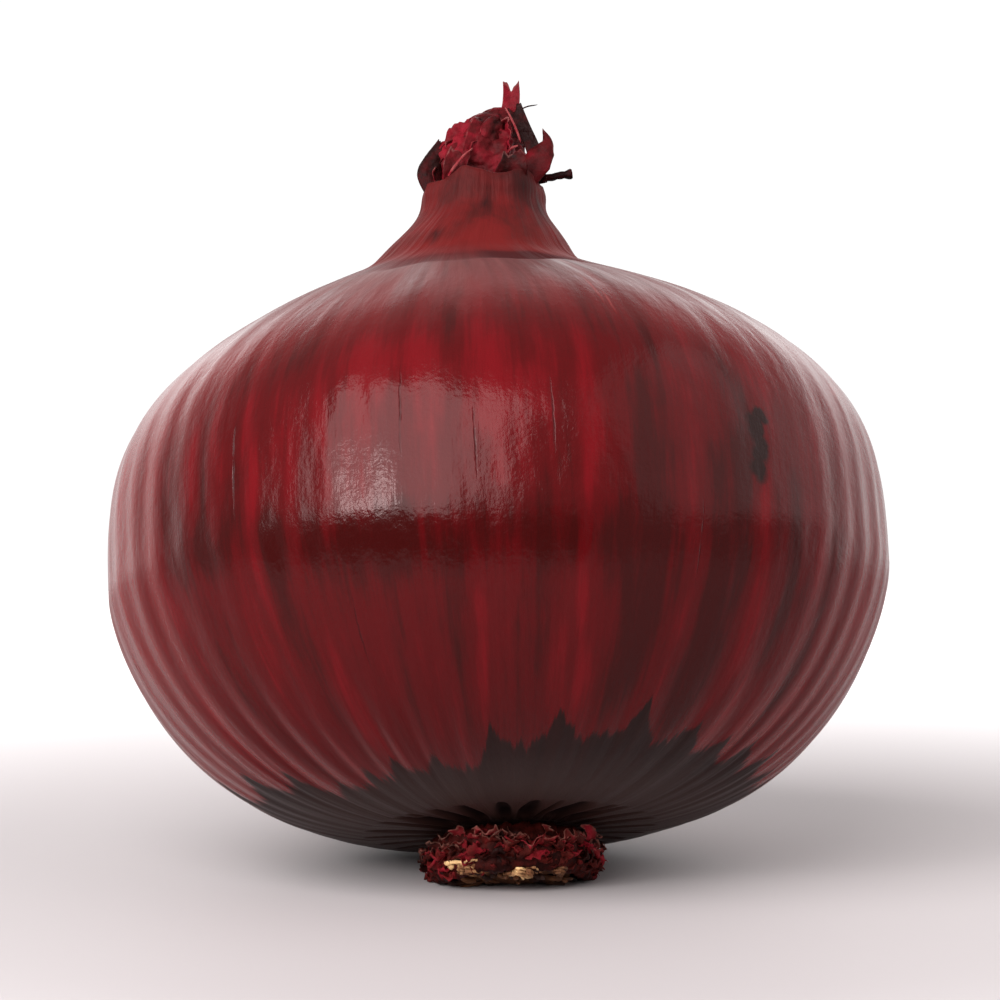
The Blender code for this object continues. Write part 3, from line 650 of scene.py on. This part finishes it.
def stalk(path, radius, knob, draw, rows=30, sides=12):
    """A dry stalk in mm with a knob at its end: points, faces and how torn each point is."""
    lumps = wave_1d(draw, 3, 2, 7)

    def size(row, turn):
        share = row / (rows - 1)
        thick = radius + (knob - radius) * max(0, (share - 0.75) / 0.25) ** 2
        return thick * (0.7 if row in (0, rows - 1) else 1) * (1 + 0.12 * lumps(turn + 2.5 * share))

    points, faces = tube(path, rows, sides, lambda tangent: tangent.cross(FRONT), size)
    return points, faces, np.zeros(len(points))


def root_tube(path, radius, draw, rows=14, sides=8):
    """A dry root in mm with a shrivelled surface: points, faces and how far along each point is."""
    shrivel = wave_1d(draw, 3, 2, 9)

    def size(row, turn):
        thin = (1 - 0.35 * row / (rows - 1)) * (0.5 if row in (0, rows - 1) else 1)
        return radius * thin * (1 + 0.18 * shrivel(turn * 1.3 + row * 0.4))

    points, faces = tube(path, rows, sides, lambda tangent: tangent.orthogonal(), size)
    return points, faces, np.repeat(np.arange(rows) / (rows - 1), sides)


def make_neck_leaves():
    draw = random.Random(SEED + 2)
    pick = draw.uniform
    parts = []
    for path, across, half_widths, cup, ragged, shade, *notch in TUFT_LEAVES:
        thickness = FOLD_THICK if shade == PALE else LEAF_THICK
        leaf = torn_leaf(path, across.normalized(), half_widths, cup, draw, ragged, 0.2, thickness, 40, 20, *notch)
        torn = 0 * leaf[2] + 0.8 if shade == PALE else leaf[2] * (0.4 if shade < 0.1 else 0.8)
        parts.append((leaf[0], leaf[1], torn, shade))
    for path, radius, knob in TUFT_STALKS:
        parts.append((*stalk(path, radius, knob, draw), 0.12))
    for index in range(9):
        angle = tau * (index + pick(-0.3, 0.3)) / 9
        out = outward(angle)
        if out.y < -0.35:
            continue
        around = sideways(angle)
        height = pick(0.7, 2)
        path = [
            out * 6 + UP * -1.4,
            out * pick(5.9, 6.4) + UP * (0.5 * height),
            out * pick(5, 5.8) + UP * height,
        ]
        leaf = torn_leaf(path, around, (2.1, 1.9, 1.2), 0.3, draw, 0.3, 0.4, rows=18, columns=14)
        parts.append((*leaf, pick(0.2, 0.6)))
    for index in range(6):
        angle = tau * (index + pick(-0.12, 0.12)) / 6 - 1.35
        out = outward(angle)
        around = sideways(angle, pick(-0.65, -0.2))
        top = pick(7.5, 8.9)
        path = [
            out * 4.3 + Vector((-0.6, 0.2, 0.2)),
            out * pick(4.3, 4.7) + Vector((-0.2, 0.2, 2.8)),
            out * pick(3.3, 3.9) + Vector((0.7, 0.3, 0.8 * top)),
            out * pick(0.8, 1.6) + Vector((1.5, 0.3, top)),
        ]
        leaf = torn_leaf(path, around, (2.4, 2.8, 2.4, 1.4), 0.5, draw, 0.06, 0.75, rows=44, columns=28)
        parts.append((leaf[0], leaf[1], 0.75 * leaf[2], pick(0.45, 0.8)))
    return joined("neck_leaf_ends", parts, from_neck_top)


def make_frill_band():
    """The crumpled band that the scale bases grow from."""
    columns, around_section = 260, 18

    def lumpy(column, turn):
        out = outward(tau * column / columns)
        local = out * (BAND_OUT + BAND_HALF_WIDE * cos(turn))
        local = local + UP * (BAND_HEIGHT + BAND_HALF_HIGH * sin(turn))
        lump = noise.noise(local * 0.8) + 0.6 * noise.noise(local * 2.2 + Vector((5, 1, 2)))
        return local + (out * cos(turn) + UP * sin(turn)) * (0.55 * lump), max(0, lump * 0.4)

    points, torn = grid(columns, around_section, lumpy)
    faces = ring_faces(columns, around_section, closed=True, turned=True)
    fields = {"torn": 0.3 * torn, "shade": 0 * torn + 0.12}
    return welded(mesh_object("root_scale_band", above_floor(points), faces, fields))


def make_frill_flakes():
    """Small torn flakes in uneven tiers round the root plate."""
    draw = random.Random(SEED + 3)
    pick = draw.uniform
    parts = []
    for count, start, start_height, end, end_height, half_width, shade_range, pale in FLAKE_TIERS:
        for index in range(count):
            angle = tau * (index + pick(-0.4, 0.4)) / count
            out = outward(angle)
            around = sideways(angle, pick(-0.5, 0.5)).normalized()
            reach = end + pick(-1, 0.3)
            rise = end_height + pick(-0.7, 0.6)
            bend = pick(-0.5, 0.5)
            path = [
                out * start + UP * start_height,
                out * (0.5 * (start + reach)) + around * bend + UP * (0.5 * (start_height + rise) - 0.35),
                out * reach + around * (2 * bend) + UP * rise,
            ]
            width = half_width * pick(0.6, 1.5)
            cup = pick(-0.5, 0.5)
            made, faces, edges = torn_leaf(
                path, around, (0.9 * width, width, 0.85 * width), cup, draw, 0.4, 1.1, 0.28, 13, 13,
                side_size=0.25, side_rate=3,
            )
            parts.append((made, faces, edges * pale, pick(*shade_range)))
    return joined("root_scale_flakes", parts, above_floor)


def make_root_disc():
    """The corky plate that the roots grow from."""
    rows, columns = 26, 120
    top_ends, side_ends = 0.2, 0.55

    def corky(row, angle):
        share = row / (rows - 1)
        if share < top_ends:
            radius, height = DISC_RADIUS * share / top_ends, DISC_TOP
        elif share < side_ends:
            down = (share - top_ends) / (side_ends - top_ends)
            radius, height = DISC_RADIUS + 0.25 * sin(down * pi), DISC_TOP - DISC_SIDE * down
        else:
            inward = (share - side_ends) / (1 - side_ends)
            radius = DISC_RADIUS * (1 - inward)
            height = DISC_TOP - DISC_SIDE - DISC_BULGE * sin(inward * 0.5 * pi)
        local = Vector((radius * cos(angle), radius * sin(angle), height))
        lump = noise.noise(local * 0.7 + Vector((2, 2, 9))) + 0.5 * noise.noise(local * 2.1)
        push = 0.32 * lump * min(1, radius / 2) * (0 if share < top_ends else 1)
        return (local.x * (1 + 0.04 * push), local.y * (1 + 0.04 * push), local.z + push), 0.5 + 0.5 * lump

    points, torn = grid(rows, columns, corky)
    fields = {"torn": torn, "shade": 0 * torn + 0.3}
    faces = ring_faces(rows, columns, turned=True)
    return welded(mesh_object("root_disc", above_floor(points, DISC_CLEARANCE), faces, fields))


def make_roots():
    """Dry cut roots that bend out from under the plate, most of them flattened against the floor."""
    draw = random.Random(SEED + 4)
    pick = draw.uniform
    parts = []
    for index in range(ROOTS_ROUND):
        angle = tau * (index + pick(-0.45, 0.45)) / ROOTS_ROUND * ROOT_TURNS
        out = outward(angle)
        around = sideways(angle)
        start = pick(1.5, 5.4)
        end = start + pick(1, 4.2)
        bend = pick(-0.9, 0.9)
        path = [
            out * start + UP * -5.2,
            out * (0.6 * start + 0.4 * end) + around * (0.4 * bend) + UP * (-6 - pick(0, 0.5)),
            out * end + around * bend + UP * (-6.6 + pick(-0.6, 0.9)),
        ]
        tube = root_tube(path, pick(0.28, 0.5), draw)
        parts.append((*tube, pick(-0.1, 0.35)))
    bundles = [given for given in FRONT_ROOTS for _ in range(STRANDS)]
    for azimuth, reach, height, length, pale in bundles:
        angle = radians(azimuth - 90 + pick(-2.5, 2.5))
        reach += pick(-0.55, 0.25)
        height += pick(-0.45, 0.45)
        length *= pick(0.4, 1.1)
        radius = pick(0.16, 0.34)
        out = outward(angle)
        around = sideways(angle)
        path = [
            out * (reach - 2.6) - around * (0.5 * length) + UP * (height + 0.6),
            out * reach - around * (0.2 * length) + UP * (height + pick(-0.2, 0.2)),
            out * (reach + 0.1) + around * (0.2 * length) + UP * (height + pick(-0.2, 0.3)),
            out * (reach - 1.2) + around * (0.55 * length) + UP * (height - 0.3),
        ]
        tube = root_tube(path, radius, draw, 16, 7)
        parts.append((*tube, pale + pick(-0.25, 0.25)))
    return joined("dry_roots", parts, lambda points: above_floor(points, ROOT_CLEARANCE))


class Shade:
    """The nodes of a material or world, added by short calls; a colour is its red, green and blue."""

    def __init__(self, owner, shader="Principled BSDF"):
        owner.use_nodes = True
        self.owner = owner
        self.tree = owner.node_tree
        self.shader = self.tree.nodes[shader]

    def put(self, value, socket):
        if isinstance(value, bpy.types.NodeSocket):
            self.tree.links.new(value, socket)
        else:
            socket.default_value = (*value, 1) if socket.type == "RGBA" else value

    def node(self, kind, inputs=None, **settings):
        made = self.tree.nodes.new(kind)
        for key, value in settings.items():
            setattr(made, key, value)
        for key, value in (inputs or {}).items():
            self.put(value, made.inputs[key])
        return made

    def set(self, **values):
        for key, value in values.items():
            self.put(value, self.shader.inputs[key.replace("_", " ")])

    def field(self, name, output="Fac"):
        return self.node("ShaderNodeAttribute", attribute_name=name).outputs[output]

    def position(self):
        return self.node("ShaderNodeTexCoord").outputs["Object"]

    def camera_ray(self):
        """1 where the camera looks straight at it, 0 in reflections and for its light."""
        return self.node("ShaderNodeLightPath").outputs["Is Camera Ray"]

    def math(self, operation, first, second=0, clamp=False):
        return self.node("ShaderNodeMath", {0: first, 1: second}, operation=operation, use_clamp=clamp).outputs[0]

    def add(self, first, second, clamp=False):
        return self.math("ADD", first, second, clamp)

    def times(self, first, second):
        return self.math("MULTIPLY", first, second)

    def vector(self, operation, first, second=(0, 0, 0), output="Vector"):
        return self.node("ShaderNodeVectorMath", {0: first, 1: second}, operation=operation).outputs[output]

    def stretch(self, vector, amounts):
        return self.vector("MULTIPLY", vector, amounts)

    def noise(self, vector, scale, detail=3, roughness=0.55, distortion=0):
        inputs = {"Vector": vector, "Scale": scale, "Detail": detail, "Roughness": roughness, "Distortion": distortion}
        return self.node("ShaderNodeTexNoise", inputs).outputs["Fac"]

    def remap(self, value, low, high, to_low=0, to_high=1, smooth=False):
        inputs = {"Value": value, "From Min": low, "From Max": high, "To Min": to_low, "To Max": to_high}
        kind = "SMOOTHSTEP" if smooth else "LINEAR"
        return self.node("ShaderNodeMapRange", inputs, interpolation_type=kind, clamp=True).outputs[0]

    def ease(self, value, low, high, most=1):
        """0 at low and most at high, smooth in between."""
        return self.remap(value, low, high, 0, most, True)

    def vary(self, value, noise, amount):
        """The value with noise added to it, up to an amount either way."""
        return self.add(value, self.remap(noise, 0.3, 0.7, -amount, amount))

    def mix(self, share, first, second):
        return self.node("ShaderNodeMix", {0: share, 6: first, 7: second}, data_type="RGBA").outputs[2]

    def tint(self, colour, towards, value, low, high, most=1):
        """The colour, mixed towards another as a value goes from low to high."""
        return self.mix(self.remap(value, low, high, 0, most), colour, towards)

    def bump(self, height, distance, strength=1, normal=None):
        inputs = {"Height": height, "Distance": distance, "Strength": strength}
        if normal is not None:
            inputs["Normal"] = normal
        return self.node("ShaderNodeBump", inputs).outputs[0]


def spot(shade, azimuth, height, half_wide, half_high, where, soft):
    """1 in the middle of an oval on the skin, 0 outside it; sizes in mm on a bulb of unit radius."""
    angle = radians(azimuth - 90)
    middle = (cos(angle), sin(angle), height * MM / BULB_RADIUS)
    wide, high = BULB_RADIUS / (half_wide * MM), BULB_RADIUS / (half_high * MM)
    scaled = shade.stretch(shade.vector("SUBTRACT", where, middle), (wide, wide, high))
    return shade.remap(shade.vector("LENGTH", scaled, output="Value"), 1, soft)


def marks(shade, listed, where, soft):
    """The listed ovals joined."""
    found = 0
    for mark in listed:
        found = shade.math("MAXIMUM", found, spot(shade, *mark, where, soft))
    return found


def neck_colour(shade, height):
    """Streaked papery red, browner at the rim and brighter at the foot."""
    streaks = shade.noise(shade.stretch(shade.position(), (1, 1, 0.6)), 260, 4, 0.6, 0.3)
    colour = shade.mix(shade.remap(streaks, 0.34, 0.60), NECK_DARK, NECK_RED)
    colour = shade.tint(colour, NECK_RIM, height, 73, 76.5, 0.35)
    return shade.tint(colour, NECK_FOOT, height, 71.5, 66, 0.5)


def worn(shade, where, colour):
    """The colour with the blemish, cracks, scuffs and dark patches, and the cracks alone."""
    wobble = shade.node("ShaderNodeTexNoise", {"Vector": where, "Scale": 16, "Detail": 3}).outputs["Color"]
    wobble = shade.vector("SUBTRACT", wobble, (0.5, 0.5, 0.5))
    ragged = shade.vector("ADD", where, shade.stretch(wobble, (0.06, 0.06, 0.06)))
    nudged = shade.vector("ADD", where, shade.stretch(wobble, (0.016, 0.016, 0.016)))
    cracks = marks(shade, CRACKS, nudged, 0.3)
    colour = shade.mix(marks(shade, BLEMISH, ragged, 0.6), colour, BLEMISH_BROWN)
    colour = shade.mix(shade.times(cracks, 0.6), colour, CRACK_DARK)
    colour = shade.mix(shade.times(marks(shade, SCUFFS, nudged, 0.3), 0.45), colour, SCUFF_PALE)
    return shade.mix(marks(shade, NECK_PATCHES, ragged, 0), colour, PATCH_DARK), cracks


def skin_normal(shade, where, cracks):
    """Fine wrinkles along the bulb, pores, a slow sag, and the cracks cut in."""
    wrinkles = shade.noise(shade.stretch(where, (1, 1, 0.16)), 120, 3, 0.6)
    sag = shade.noise(shade.stretch(where, (1, 1, 0.5)), 9, 2, 0.5)
    normal = shade.bump(wrinkles, 0.00003, 0.7)
    normal = shade.bump(shade.noise(where, 55, 3, 0.6), 0.00010, 0.5, normal)
    normal = shade.bump(sag, 0.0007, 0.5, normal)
    return shade.bump(shade.remap(cracks, 0, 1, 1, 0), 0.00004, 1, normal)


def skin_material():
    """Striped glossy skin, dull and dark round the roots, with a faint painted sheen under the neck, a painted sheen
    at its edges and painted shade in its hollows.
    """
    shade = Shade(bpy.data.materials.new("onion_skin"))
    where = shade.field("along_skin", "Vector")
    height, hollow = shade.field("height_mm"), shade.field("hollow")
    streaky = shade.stretch(where, (1, 1, 0.09))
    streaks = shade.noise(streaky, 17, 4, 0.62)
    cloud = shade.noise(shade.stretch(where, (1, 1, 0.55)), 6, 4, 0.6)
    level = shade.vary(shade.field("tone"), streaks, 0.30)
    level = shade.vary(level, shade.noise(streaky, 60, 3, 0.6), 0.10)
    level = shade.vary(level, cloud, 0.21)
    colour = shade.mix(shade.ease(level, 0, 0.5), BROWN, MIDDLE)
    colour = shade.mix(shade.ease(level, 0.5, 1.15), colour, BRIGHT)

    jagged = shade.vary(shade.field("above_base"), shade.noise(streaky, 45, 4, 0.7), 0.75)
    in_base = shade.ease(jagged, 0.30, -0.30)
    base_colour = shade.mix(shade.remap(streaks, 0.35, 0.65), BASE_DARK, BASE_WARM)
    # Lighter next to the roots: partly the skin's own grey, partly painted light against the shade there
    base_colour = shade.tint(base_colour, BASE_GREY_AND_PAINTED_LIGHT_AT_ROOTS, height, 3.5, 0.6, 0.9)
    colour = shade.mix(in_base, colour, base_colour)

    blotchy = shade.vary(height, cloud, 3.5)
    # Painted sheen: pale patches on the shoulder under the neck
    painted_sheen = shade.times(shade.ease(blotchy, 51, 61, 0.30), shade.remap(height, 63.5, 60.5))
    painted_sheen = shade.times(painted_sheen, shade.remap(streaks, 0.3, 0.7, 0.3, 1.4))
    colour = shade.mix(painted_sheen, colour, PAINTED_SHEEN)
    on_neck = shade.ease(height, 62.5, 65.5)
    colour = shade.mix(on_neck, colour, neck_colour(shade, height))
    # Painted shade inside the neck's rim, darker the deeper it lies
    colour = shade.mix(shade.remap(shade.field("depth"), 0.1, 0.9), colour, NECK_INSIDE_PAINTED_SHADE)
    # Painted shade in the hollows above the scale bases and in the fold under the neck's foot
    painted_hollow_shade = shade.mix(shade.remap(height, 20, 40), HOLLOW_PAINTED_SHADE, FOLD_PAINTED_SHADE)
    colour = shade.mix(shade.ease(hollow, 0.15, 0.8, 0.93), colour, painted_hollow_shade)
    colour, cracks = worn(shade, where, colour)

    edge_on = shade.node("ShaderNodeLayerWeight", {"Blend": 0.35}).outputs["Facing"]
    # Painted sheen: pinker where the skin turns edge-on to the view
    painted_edge_sheen = shade.times(shade.ease(edge_on, 0.27, 0.62, 0.6), shade.remap(in_base, 0, 1, 1, 0))
    painted_edge_sheen = shade.times(painted_edge_sheen, shade.remap(height, 50, 60, 1, 0.15))
    colour = shade.mix(painted_edge_sheen, colour, PAINTED_EDGE_SHEEN)
    rough = shade.remap(cloud, 0.3, 0.7, 0.13, 0.20)
    rough = shade.add(rough, shade.times(on_neck, 0.2))
    rough = shade.add(rough, shade.ease(edge_on, 0.2, 0.6, 0.11))
    rough = shade.add(rough, shade.ease(blotchy, 50, 61, 0.25))
    rough = shade.add(rough, shade.times(in_base, 0.22))
    rough = shade.add(rough, shade.times(hollow, 0.4), True)
    shade.set(Base_Color=colour, Roughness=rough, IOR=1.27, Normal=skin_normal(shade, where, cracks))
    shade.set(Specular_Tint=(1, 0.80, 0.79))
    shade.set(Sheen_Weight=0.04, Sheen_Roughness=0.25, Sheen_Tint=(1, 0.7, 0.7))
    return shade.owner


def papery_material(name, dark, middle, bright, edge, edge_share):
    """Dry crumpled scale: colour by each leaf's own shade, mottled, with paler torn edges."""
    shade = Shade(bpy.data.materials.new(name))
    where = shade.position()
    mottle = shade.noise(where, 420, 4, 0.6)
    level = shade.vary(shade.field("shade"), mottle, 0.35)
    colour = shade.mix(shade.remap(level, 0, 0.5), dark, middle)
    colour = shade.tint(colour, bright, level, 0.5, 1)
    torn = shade.vary(shade.field("torn"), shade.noise(where, 900, 2), 0.25)
    colour = shade.tint(colour, edge, torn, 0.55, 1.05, edge_share)
    normal = shade.bump(shade.noise(where, 700, 4, 0.65), 0.00035, 0.8)
    normal = shade.bump(shade.noise(where, 2600, 3, 0.6), 0.00006, 0.6, normal)
    shade.set(Base_Color=colour, Roughness=shade.remap(mottle, 0.3, 0.7, 0.42, 0.62), IOR=1.28, Normal=normal)
    shade.set(Specular_IOR_Level=0.18)
    return shade.owner


def root_material():
    """Dry root: dark to pale tan by each strand's own shade, mottled."""
    shade = Shade(bpy.data.materials.new("dry_root"))
    where = shade.position()
    level = shade.vary(shade.field("shade"), shade.noise(where, 520, 4, 0.6), 0.3)
    colour = shade.mix(shade.remap(level, 0, 0.55), ROOT_DARK, ROOT_TAN)
    colour = shade.tint(colour, ROOT_PALE, level, 0.55, 1.15)
    normal = shade.bump(shade.noise(where, 2200, 3, 0.6), 0.00012, 0.8)
    shade.set(Base_Color=colour, Roughness=0.75, IOR=1.4, Normal=normal)
    return shade.owner


def floor_material():
    """Pale floor that brightens into the white surroundings away from the onion."""
    shade = Shade(bpy.data.materials.new("pale_floor"))
    away = shade.vector("LENGTH", shade.position(), output="Value")
    glow = shade.times(shade.times(shade.ease(away, 0.07, 0.22), 0.7), shade.camera_ray())
    shade.set(Base_Color=FLOOR_GREY, Roughness=0.7)
    shade.set(Emission_Color=WHITE, Emission_Strength=glow)
    return shade.owner


def make_floor():
    columns = 96
    radii = [0.0005, 0.06, 0.12, 0.18, 0.24, 0.30]
    angle = 2 * np.pi * np.arange(columns) / columns
    rings = [np.stack([r * np.cos(angle), 0.01 + r * np.sin(angle), 0 * angle], axis=-1) for r in radii]
    faces = ring_faces(len(radii), columns) + [tuple(range(columns))[::-1]]
    return mesh_object("floor", np.concatenate(rings), faces, smooth=False)


def make_world():
    """White all round, with a dim room behind the camera that darkens to a band at eye level."""
    world = bpy.data.worlds.new("studio")
    bpy.context.scene.world = world
    shade = Shade(world, "Background")
    way = shade.node("ShaderNodeTexCoord").outputs["Generated"]
    x, y, z = shade.node("ShaderNodeSeparateXYZ", {0: way}).outputs
    azimuth = shade.math("ARCTAN2", x, shade.times(y, -1))
    from_front = shade.math("ABSOLUTE", azimuth)

    def turned(value, low, high):
        return shade.ease(value, radians(low), radians(high))

    in_front = shade.times(turned(azimuth, -64, -54), turned(azimuth, 26, 19))
    low_down = shade.ease(z, sin(radians(13)), sin(radians(9)))
    overhead = shade.ease(z, 0.26, 0.66)
    behind = shade.times(turned(from_front, 86, 128), shade.math("SUBTRACT", 1, overhead))
    glow = shade.add(WORLD_ROOM, shade.times(behind, WORLD_BRIGHT - WORLD_ROOM))
    glow = shade.add(glow, shade.times(overhead, WORLD_TOP - WORLD_ROOM))
    high_up = shade.times(shade.ease(z, 0.04, 0.2), shade.ease(z, 0.56, 0.2))
    straight_back = turned(from_front, 125, 165)
    glow = shade.add(glow, shade.times(shade.times(high_up, straight_back), WORLD_BACK))
    dark = shade.times(shade.times(in_front, low_down), 0.93)
    glow = shade.times(glow, shade.math("SUBTRACT", 1, dark))
    seen = shade.camera_ray()
    strength = shade.add(shade.times(seen, 1.05), shade.times(shade.math("SUBTRACT", 1, seen), glow))
    shade.set(Color=WHITE, Strength=strength)


def soft_light(name, azimuth, elevation, distance, wide, high, radiance, tint):
    """A soft panel that faces the onion's middle; wide and high are angles in degrees as the onion sees them."""
    light = bpy.data.lights.new(name, "AREA")
    light.shape = "RECTANGLE"
    light.size = 2 * distance * tan(radians(0.5 * wide))
    light.size_y = 2 * distance * tan(radians(0.5 * high))
    light.energy = radiance * pi * light.size * light.size_y
    light.color = tint
    made = bpy.data.objects.new(name, light)
    a, e = radians(azimuth), radians(elevation)
    way = Vector((sin(a) * cos(e), -cos(a) * cos(e), sin(e)))
    made.location = LIT_POINT + way * distance
    made.rotation_euler = way.to_track_quat("Z", "Y").to_euler()
    made.visible_camera = False
    bpy.context.scene.collection.objects.link(made)


def make_camera():
    camera_data = bpy.data.cameras.new("camera")
    camera_data.lens, camera_data.sensor_width = LENS, SENSOR
    camera_data.shift_x, camera_data.shift_y = SHIFT_X, SHIFT_Y
    camera_data.clip_end = 20
    camera = bpy.data.objects.new("camera", camera_data)
    look = Vector((0, cos(LOOKS_DOWN), -sin(LOOKS_DOWN)))
    camera.location = AIM - look * DISTANCE
    camera.rotation_euler = (radians(90) - LOOKS_DOWN, 0, 0)
    bpy.context.scene.collection.objects.link(camera)
    bpy.context.scene.camera = camera


def dress(piece, node, surface):
    """Gives a piece its material, attaches it to the root body and hides the solid it stands for."""
    piece.data.materials.clear()
    piece.data.materials.append(surface)
    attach(piece, "root")
    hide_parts(node)


def main():
    crimson = papery_material("dry_neck_scale", *NECK_SCALE)
    ragged = papery_material("torn_root_scale", *ROOT_SCALE)
    dry_root = root_material()
    dress(make_skin(), "bulb", skin_material())
    dress(make_neck_wad(), "neck_scales", crimson)
    dress(make_neck_leaves(), "neck_scales", crimson)
    dress(make_frill_band(), "scale_bases", ragged)
    dress(make_frill_flakes(), "scale_bases", ragged)
    dress(make_root_disc(), "root_plate", dry_root)
    dress(make_roots(), "root_plate", dry_root)
    floor = make_floor()
    floor.data.materials.append(floor_material())
    make_world()
    for light in LIGHTS:
        soft_light(*light)
    make_camera()
    bpy.context.scene.view_settings.view_transform = "Standard"


main()
